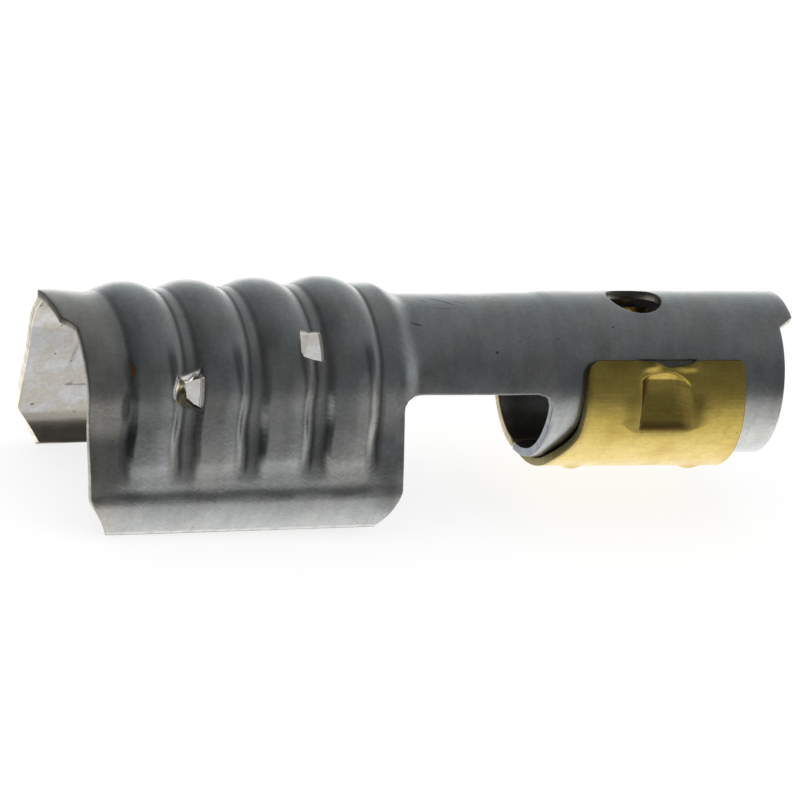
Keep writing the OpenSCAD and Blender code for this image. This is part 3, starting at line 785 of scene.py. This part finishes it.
def plated_steel():
    """Satin plating outside: clouded grey, painted shade and highlights on the ribs and at their feet, small
    scars.
    """
    mat, n, spot = start_finish("plated_steel")
    x, q, burr = n.split(spot)
    side = n.math("ABSOLUTE", q)
    t = rib_share(n, x, side)
    ribbed = n.times(n.fall(side, 8.4, 9.1), n.fall(x, -2.2, -1.9))
    cloud = n.noise(spot, 0.55, 4.0)
    fine = n.noise(spot, 5.0, 3.0)
    patchy = n.noise(spot, 1.7, 3.0)
    smear = n.noise(n.stretched(spot, 0.05, (0.55, 1.8, 1.0)), 1.0, 3.0)

    warm = n.math("MAXIMUM", n.ramp(n.noise(spot, 0.4, 2.0), 0.4, 0.7, 0.0, 0.7), n.ramp(x, -14.2, -15.2))
    tint = n.mix(warm, (0.424, 0.445, 0.453, 1), (0.455, 0.45, 0.425, 1))
    tone = n.times(n.ramp(cloud, 0.3, 0.7, 0.9, 1.08), n.ramp(fine, 0.3, 0.7, 0.94, 1.06),
                   n.ramp(smear, 0.3, 0.7, 0.93, 1.04))
    # Darker at the wing's rear and front ends low down, low on the socket by its rear edge, and over the lip
    tone = n.shade(tone, 0.42, n.ramp(x, -13.4, -15.2), n.ramp(side, 6.7, 7.5), n.fall(side, 9.8, 10.3))
    tone = n.shade(tone, 0.34, n.ramp(x, -2.8, -1.8), n.ramp(side, 8.0, 9.0), n.fall(side, 10.3, 11.4),
                   n.ramp(x, -1.6, -1.2, 1.0, 0.3))
    tone = n.shade(tone, 0.55, n.ramp(side, 6.0, 6.8), n.ramp(x, 4.5, 5.0), n.ramp(x, 6.2, 6.5, 1.0, 0.2),
                   n.fall(x, 9.5, 10.5))
    tone = n.shade(tone, 0.17, n.ramp(side, 9.8, 10.5))
    # Painted shade in the left flank of each rib low on the wing, and thin lines of painted shade in the
    # creases at both feet
    tone = n.shade(tone, 0.55, n.band(t, -0.86, 0.07, 0.2), n.ramp(side, 6.1, 7.0), n.fall(side, 7.8, 8.3),
                   n.ramp(patchy, 0.25, 0.5, 0.7, 1.0))
    tone = n.shade(tone, 0.35, n.band(t, -1.0, 0.0, 0.2), ribbed)
    tone = n.shade(tone, 0.5, n.band(t, 1.08, 0.0, 0.14), ribbed, n.ramp(cloud, 0.3, 0.5, 0.5, 1.0))
    # Painted shade in the shoulder's bend and down the right flank of each rib
    bend = n.band(x, -0.9, 0.25, 0.8)
    tone = n.shade(tone, 0.32, bend, n.ramp(side, 0.2, 0.7), n.fall(side, 1.8, 3.4))
    tone = n.shade(tone, 0.5, bend, n.ramp(side, 4.0, 5.2), n.fall(side, 5.8, 6.6))
    flank = n.band(t, n.ramp(side, 3.0, 5.5, 0.56, 0.76), 0.1, 0.28)
    tone = n.shade(tone, 0.5, flank, ribbed, n.ramp(side, 2.6, 3.6), n.ramp(side, 6.2, 7.2, 1.0, 0.6))
    # Painted highlight on the right of the ribs' tops, and painted shade in the valleys between the ribs
    tone = n.shade(tone, -0.5, n.band(t, 0.52, 0.12, 0.6), n.ramp(side, 3.6, 5.2), n.fall(side, 8.2, 8.8),
                   n.ramp(side, 5.8, 6.5, 1.0, 0.7))
    valley_shade = n.band(n.math("ABSOLUTE", t), 1.14, 0.08, 0.2)
    tone = n.shade(tone, 0.32, valley_shade, n.ramp(side, 4.9, 5.6), n.fall(side, 8.2, 8.8))
    # Scratches in two directions, in patches, and specks
    long_cuts = n.noise(n.stretched(spot, 0.5, (1.6, 0.05, 1.0)), 1.0, 2.0)
    cross_cuts = n.noise(n.stretched(spot, -0.7, (1.1, 0.045, 1.0)), 1.0, 2.0)
    where_cut = n.ramp(cloud, 0.46, 0.6)
    tone = n.shade(tone, 0.3, n.ramp(long_cuts, 0.67, 0.73), where_cut)
    tone = n.shade(tone, 0.45, n.ramp(n.noise(spot, 2.6, 1.0), 0.745, 0.79), where_cut)
    for centre, size, turn, share in DARK_MARKS:
        tone = n.shade(tone, share, n.mark(spot, centre, size, turn))
    light_cut = n.times(n.ramp(cross_cuts, 0.68, 0.74), n.ramp(patchy, 0.5, 0.62))
    for centre, size, turn in LIGHT_MARKS:
        light_cut = n.math("MAXIMUM", light_cut, n.mark(spot, centre, size, turn))

    colour = n.toned(tint, tone)
    # Painted highlight along the right foot of each rib, and the lip's lower edge rubbed lighter, with a dark
    # line of painted shade along its very edge, and pits
    foot = n.times(n.band(t, 0.84, 0.02, 0.1), ribbed, n.ramp(side, 3.5, 6.5, 0.35, 1.0))
    colour = n.paint(colour, (0.56, 0.53, 0.4), foot, n.ramp(cloud, 0.35, 0.55, 0.3, 1.0), 0.22)
    worn = n.ramp(side, HALF_RUN - 0.35, HALF_RUN - 0.12)
    colour = n.paint(colour, (0.7, 0.69, 0.66), worn, n.ramp(patchy, 0.3, 0.55, 0.2, 1.0), 0.55)
    colour = n.paint(colour, (0.09, 0.09, 0.088), n.ramp(side, HALF_RUN - 0.09, HALF_RUN - 0.06), 0.75)
    pits = n.ramp(n.noise(spot, 4.2, 1.0), 0.68, 0.73)
    colour = n.paint(colour, (0.12, 0.115, 0.11), n.ramp(side, HALF_RUN - 1.0, HALF_RUN - 0.2), pits, 0.7)
    colour = n.paint(colour, (0.68, 0.68, 0.68), light_cut, 0.3)
    colour = burr_colours_and_highlights(n, colour, x, q, burr, fine)
    rust = n.mark(spot, (-14.36, 3.95), (0.17, 0.34), 0.1)
    colour = n.paint(colour, (0.42, 0.2, 0.08), rust, n.ramp(fine, 0.35, 0.6, 0.5, 0.9))
    rough = n.ramp(cloud, 0.3, 0.7, 0.24, 0.32)
    n.finish(colour, rough, n.math("ADD", fine, n.times(long_cuts, 0.6)), 0.012)
    return mat


def burr_colours_and_highlights(n, colour, x, q, burr, fine):
    """Burrs of the rear hole: painted highlights on the left one, which has a brown end, and at the upper
    one's end; a brown lower one.
    """
    angle = n.math("ARCTAN2", n.math("SUBTRACT", q, REAR_HOLE[1]), n.math("SUBTRACT", x, REAR_HOLE[0]))
    torn = n.times(n.ramp(x, -9.0, -9.2), n.ramp(burr, 0.02, 0.06))
    left = n.times(torn, n.ramp(n.math("ABSOLUTE", angle), 2.5, 2.7))
    lower = n.times(torn, n.band(angle, 1.95, 0.5, 0.7))
    upper = n.times(torn, n.band(angle, -1.9, 0.6, 0.8))
    colour = n.paint(colour, (0.93, 0.93, 0.92), left, n.band(burr, 0.25, 0.12, 0.25), 0.9)
    colour = n.paint(colour, (0.5, 0.42, 0.2), left, n.band(burr, 0.55, 0.08, 0.2), 0.9)
    colour = n.paint(colour, (0.1, 0.07, 0.06), left, n.ramp(burr, 0.68, 0.85), 0.95)
    colour = n.paint(colour, (0.38, 0.32, 0.23), lower, n.ramp(fine, 0.35, 0.6, 0.75, 0.95))
    colour = n.paint(colour, (0.25, 0.25, 0.25), upper, n.fall(burr, 0.3, 0.45), 0.5)
    return n.paint(colour, (0.9, 0.88, 0.85), upper, n.ramp(burr, 0.3, 0.45), 0.9)


def plated_steel_inside():
    """The stamping's inside: warmer, spotted and pitted, brown along the lips, with painted shade in the
    socket.
    """
    mat, n, spot = start_finish("plated_steel_inside")
    x, q, _ = n.split(spot)
    side = n.math("ABSOLUTE", q)
    cloud = n.noise(spot, 0.9, 5.0)
    fine = n.noise(spot, 5.0, 3.0)
    drawn = n.noise(n.scaled(spot, (0.25, 5.0, 1.0)), 1.0, 3.0)
    tint = n.mix(n.ramp(cloud, 0.43, 0.62), (0.315, 0.304, 0.28, 1), (0.362, 0.37, 0.38, 1))
    tone = n.times(n.ramp(fine, 0.3, 0.7, 0.93, 1.06), n.ramp(side, 5.0, 6.6, 1.25, 1.0))
    tone = n.shade(tone, 0.6, n.ramp(n.noise(spot, 2.4, 1.0), 0.71, 0.75))
    # Painted shade inside the socket
    tone = n.shade(tone, 0.33, n.ramp(x, 4.5, 8.0))
    # A pit and a scratch on the far wing
    tone = n.shade(tone, 0.5, n.mark(spot, (-13.75, -8.68), (0.26, 0.1)))
    tone = n.shade(tone, 0.4, n.mark(spot, (-13.15, -8.72), (0.6, 0.05)))
    lip = n.times(n.ramp(side, 10.05, 10.5), n.ramp(drawn, 0.35, 0.65, 0.65, 1.0))
    colour = n.paint(n.toned(tint, tone), (0.21, 0.195, 0.16), lip, n.fall(x, -2.0, -1.0))
    n.finish(colour, n.ramp(cloud, 0.3, 0.7, 0.28, 0.38), fine, 0.012)
    return mat


def sheared_edge(name, base, rough, steel=False):
    """A cut edge: the metal's own colour with fine lines through the sheet.

    The steel one also has painted shade in the round hole and under the lips. It is cooler on the near
    half of the socket's rear rim, yellower on the far half, and bright at the barrel's far rear end.
    """
    mat, n, spot = start_finish(name)
    torn = n.noise(n.scaled(spot, (9.0, 9.0, 0.0)), 1.0, 3.0)
    cloud = n.noise(spot, 1.3, 2.0)
    tone = n.times(n.ramp(torn, 0.35, 0.65, 0.85, 1.08), n.ramp(cloud, 0.35, 0.65, 0.85, 1.1))
    colour = base
    if steel:
        x, q, _ = n.split(spot)
        # Painted shade in the round hole and along the lips' lower edges
        tone = n.shade(tone, 0.45, n.mark(spot, TOP_HOLE, (2.2, 2.2)))
        lip = n.ramp(n.math("ABSOLUTE", q), HALF_RUN - 0.12, HALF_RUN - 0.04)
        tone = n.shade(tone, 0.7, lip, n.fall(x, -2.5, -2.0))
        cool = (base[0] * 0.48, base[1] * 0.55, base[2] * 0.7, 1)
        yellow = (base[0], base[1] * 0.9, base[2] * 0.62, 1)
        rear_rim = n.times(n.ramp(x, 3.5, 4.5), n.fall(x, 9.0, 9.5))
        colour = n.mix(rear_rim, (*base, 1), n.mix(n.ramp(q, -0.5, 0.5), yellow, cool))
        colour = n.paint(colour, (0.78, 0.74, 0.62), n.fall(x, -14.5, -13.5), n.fall(q, -3.0, -1.5))
    n.finish(n.toned(colour, tone), rough, torn, 0.02)
    return mat


def brass(name, base):
    """Satin brass strip: rolling lines, brown specks, painted glare low down, and painted shade round and in
    the pressed window.
    """
    mat, n, place = start_finish(name)
    x, degrees, press = n.split(place)
    around = n.math("ABSOLUTE", degrees)
    mm_per_degree = 0.07
    spot = n.scaled(place, (1.0, mm_per_degree, 0.0))
    cloud = n.noise(spot, 0.8, 4.0)
    lines = n.noise(n.scaled(spot, (0.35, 7.0, 1.0)), 1.0, 3.0)
    fine = n.noise(spot, 6.0, 2.0)
    blotch = n.noise(n.scaled(spot, (0.6, 1.5, 1.0)), 1.6, 4.0)
    brown = (0.25, 0.15, 0.05)

    def tinted(red, green, blue):
        """The base colour with each of its parts times a factor of its own."""
        return base[0] * red, base[1] * green, base[2] * blue

    colour = n.paint((*base, 1), tinted(0.82, 0.77, 0.72), n.ramp(cloud, 0.4, 0.7))
    # Painted glare: paler and bluer toward the bottom
    pale = n.times(n.ramp(around, 88.0, 60.0), n.ramp(cloud, 0.35, 0.6, 0.8, 0.4))
    colour = n.paint(colour, tinted(0.96, 0.99, 1.7), pale)
    colour = n.paint(colour, tinted(0.8, 0.66, 0.8), n.ramp(blotch, 0.5, 0.68), 0.3)
    # Painted shade round the pressed window, and a brown line of painted shade in a crease under it that
    # curves up at both ends
    low = n.math("MAXIMUM", n.ramp(x, -7.9, -7.0, 84.0, 78.0), n.ramp(x, -4.7, -3.2, 78.0, 87.0))
    over = n.math("SUBTRACT", around, low)
    beside = n.times(n.ramp(x, -8.2, -7.5), n.fall(x, -4.3, -3.2))
    window_shade = n.times(beside, n.ramp(over, -1.0, 1.5), n.fall(around, 97.0, 110.0))
    tone = n.times(n.ramp(lines, 0.3, 0.7, 0.97, 1.03), n.ramp(fine, 0.3, 0.7, 0.95, 1.05))
    tone = n.shade(tone, 0.35, n.band(x, -4.5, 0.3, 0.7), window_shade)
    colour = n.toned(colour, n.shade(tone, 0.42, window_shade))
    crease = n.band(over, 0.0, 0.3, 1.2)
    colour = n.paint(colour, brown, crease, beside, n.ramp(cloud, 0.35, 0.6, 0.15, 0.5))
    colour = n.paint(colour, brown, n.ramp(n.noise(spot, 3.2, 1.0), 0.73, 0.79), 0.5)
    # Brown along the rear edge and the arms' ends: tarnish, and painted shade of the gap beside the socket
    rear = n.math("SUBTRACT", x, n.ramp(around, 38.0, 80.0, CLIP_REAR - CLIP_BASE, CLIP_REAR))
    edges = n.math("MAXIMUM", n.fall(rear, 0.05, 0.4), n.ramp(around, 117.0, 127.0, 0.0, 0.8))
    colour = n.paint(colour, (0.24, 0.17, 0.05), edges, n.ramp(cloud, 0.3, 0.6, 0.35, 0.6))
    # Painted shade on the pressed window's walls, most of it on the left and low ones
    colour = n.paint(colour, (0.2, 0.12, 0.03), n.band(press, 0.5, 0.2, 0.46),
                     n.ramp(cloud, 0.3, 0.6, 0.55, 0.85), n.ramp(x, -5.6, -5.0, 1.0, 0.4))
    left = n.math("SUBTRACT", x, n.ramp(around, 88.0, 112.0, -6.78, -6.62))
    colour = n.paint(colour, (0.16, 0.085, 0.02), n.fall(left, -0.1, 0.06), n.ramp(press, 0.1, 0.35), 0.8)
    colour = n.paint(colour, (0.16, 0.1, 0.03), n.fall(around, 83.5, 86.0), n.ramp(press, 0.05, 0.2), 0.6)
    n.finish(colour, n.ramp(cloud, 0.3, 0.7, 0.35, 0.42), n.math("ADD", fine, lines), 0.012)
    return mat


body = sheet_metal("stamped_terminal", sheet_surface(), STEEL_ROUND)
steel_edge = sheared_edge("sheared_steel_edge", (0.36, 0.345, 0.305), 0.38, steel=True)
for finish in (plated_steel(), steel_edge, plated_steel_inside()):
    body.data.materials.append(finish)
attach(body, "root")
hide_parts("terminal_body")

clip = sheet_metal("spring_clip", clip_surface(), BRASS_ROUND)
# The clip's cut edges are darker than brass: painted shade of the gap beside the socket
shaded_brass_edge = sheared_edge("sheared_brass_edge", (0.19, 0.155, 0.055), 0.45)
for finish in (brass("brass", (0.64, 0.5, 0.125)), shaded_brass_edge, brass("brass_inside", (0.5, 0.37, 0.1))):
    clip.data.materials.append(finish)
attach(clip, "root")
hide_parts("contact_clip")

# The camera's angles, scale and distance, and the pixel at which the barrel's front end lies in the picture
TURN, RAISE, ROLL = math.radians(23.88), math.radians(27.11), math.radians(-0.118)
PIXELS_PER_MM, CENTRE_X, CENTRE_Y, IMAGE, DISTANCE = 22.55, 397.14, 372.7, 800, 1000


def add_camera():
    """Camera turned and raised about the barrel's front end, then rolled. Returns the direction toward it."""
    right = Vector((math.cos(TURN), -math.sin(TURN) * math.cos(RAISE), math.sin(TURN) * math.sin(RAISE)))
    up = Vector((0, math.sin(RAISE), math.cos(RAISE)))
    away = Vector((-math.sin(TURN), -math.cos(TURN) * math.cos(RAISE), math.cos(TURN) * math.sin(RAISE)))
    right, up = right * math.cos(ROLL) + up * math.sin(ROLL), up * math.cos(ROLL) - right * math.sin(ROLL)
    aim = Vector((X_NECK, 0, 0))
    aim += right * ((IMAGE / 2 - CENTRE_X) / PIXELS_PER_MM) - up * ((IMAGE / 2 - CENTRE_Y) / PIXELS_PER_MM)
    place = (aim + away * DISTANCE) * MM
    lens = bpy.data.cameras.new("camera")
    lens.sensor_width = 36
    lens.lens = PIXELS_PER_MM * DISTANCE / IMAGE * lens.sensor_width
    camera = add_object("camera", lens)
    camera.matrix_world = Matrix((
        (right.x, up.x, away.x, place.x),
        (right.y, up.y, away.y, place.y),
        (right.z, up.z, away.z, place.z),
        (0, 0, 0, 1)))
    bpy.context.scene.camera = camera
    return away


def pale_paper():
    """Pale floor that adds its own light. The metal sees it as a glow, weaker ahead and to the left."""
    mat = bpy.data.materials.new("pale floor")
    n = Nodes(mat)
    x, y, _ = n.split(n.add("TexCoord").outputs["Object"])
    ahead = n.math("MULTIPLY", y, -1.0)
    glow = n.times(n.ramp(ahead, 0.002, 0.010, 1.55, 0.9), n.ramp(ahead, 0.006, 0.038, 1.0, 0.22),
                   n.ramp(x, -0.044, -0.034, 0.1, 1.0))
    reflected = n.add("Emission", Color=(1, 0.985, 0.96, 1), Strength=glow)
    paper = n.add("BsdfDiffuse", Color=(0.3, 0.3, 0.3, 1))
    light = n.add("Emission", Color=(1, 1, 1, 1), Strength=0.79)
    seen = n.add("AddShader")
    n.put(seen.inputs[0], paper.outputs[0])
    n.put(seen.inputs[1], light.outputs[0])
    sheet = n.add("MixShader")
    n.put(sheet.inputs[0], n.add("LightPath").outputs["Is Glossy Ray"])
    n.put(sheet.inputs[1], seen.outputs[0])
    n.put(sheet.inputs[2], reflected.outputs[0])
    n.add("OutputMaterial", Surface=sheet.outputs[0])
    return mat


def add_studio(toward):
    """Soft studio light: an even white tent for the floor, which the metal sees as a darker room.

    The room's level follows the angle from the camera's side, up and over to the back, and it is dimmer
    to the left.
    """
    world = bpy.data.worlds.new("studio")
    bpy.context.scene.world = world
    n = Nodes(world)
    gaze = n.add("TexCoord").outputs["Generated"]
    ahead = n.apply("VectorMath", "DOT_PRODUCT", gaze, toward).outputs["Value"]
    across, _, height = n.split(gaze)
    turn = n.math("ARCTAN2", height, ahead)
    room = n.add("ValToRGB", Fac=n.ramp(turn, 0.0, math.pi, kind="LINEAR"))
    levels = [(0, 0.115), (50, 0.12), (70, 0.16), (90, 0.2), (120, 0.25), (135, 0.29), (153, 0.41),
              (168, 0.62), (180, 1.0)]
    stops = room.color_ramp.elements
    for degrees, _ in levels[1:-1]:
        stops.new(degrees / 180)
    for stop, (_, level) in zip(stops, levels):
        stop.color = (level * 0.96, level, level * 1.01, 1)
    dim = n.toned(room.outputs["Color"], n.ramp(across, -0.7, 0.5, 0.5, 1.08))
    glossy = n.add("LightPath").outputs["Is Glossy Ray"]
    shine = n.add("Background", Color=n.mix(glossy, (0.72, 0.72, 0.72, 1), dim), Strength=1.0)
    n.add("OutputWorld", Surface=shine.outputs[0])


def add_lamp(name, place, target, size, power):
    """A square soft lamp at a place, facing its target, in metres and watts."""
    light = bpy.data.lights.new(name, "AREA")
    light.size = size
    light.energy = power
    obj = add_object(name, light)
    obj.location = place
    obj.rotation_mode = "QUATERNION"
    obj.rotation_quaternion = (Vector(target) - Vector(place)).to_track_quat("-Z", "Y")
    return obj


away = add_camera()
add_studio(Vector((away.x, away.y, 0)).normalized())
overhead = add_lamp("overhead lamp", (-0.05, 0.1, 0.6), (-0.017, 0, 0), 0.7, 0.6)
overhead.visible_glossy = False

# Floor under the lips
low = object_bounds()[0]
reach = 3.0
floor_mesh = bpy.data.meshes.new("floor")
floor_mesh.from_pydata(
    [(-reach, -reach, low.z), (reach, -reach, low.z), (reach, reach, low.z), (-reach, reach, low.z)],
    [], [(0, 1, 2, 3)])
floor_mesh.materials.append(pale_paper())
floor = add_object("floor", floor_mesh)

bpy.context.scene.view_settings.view_transform = "Standard"
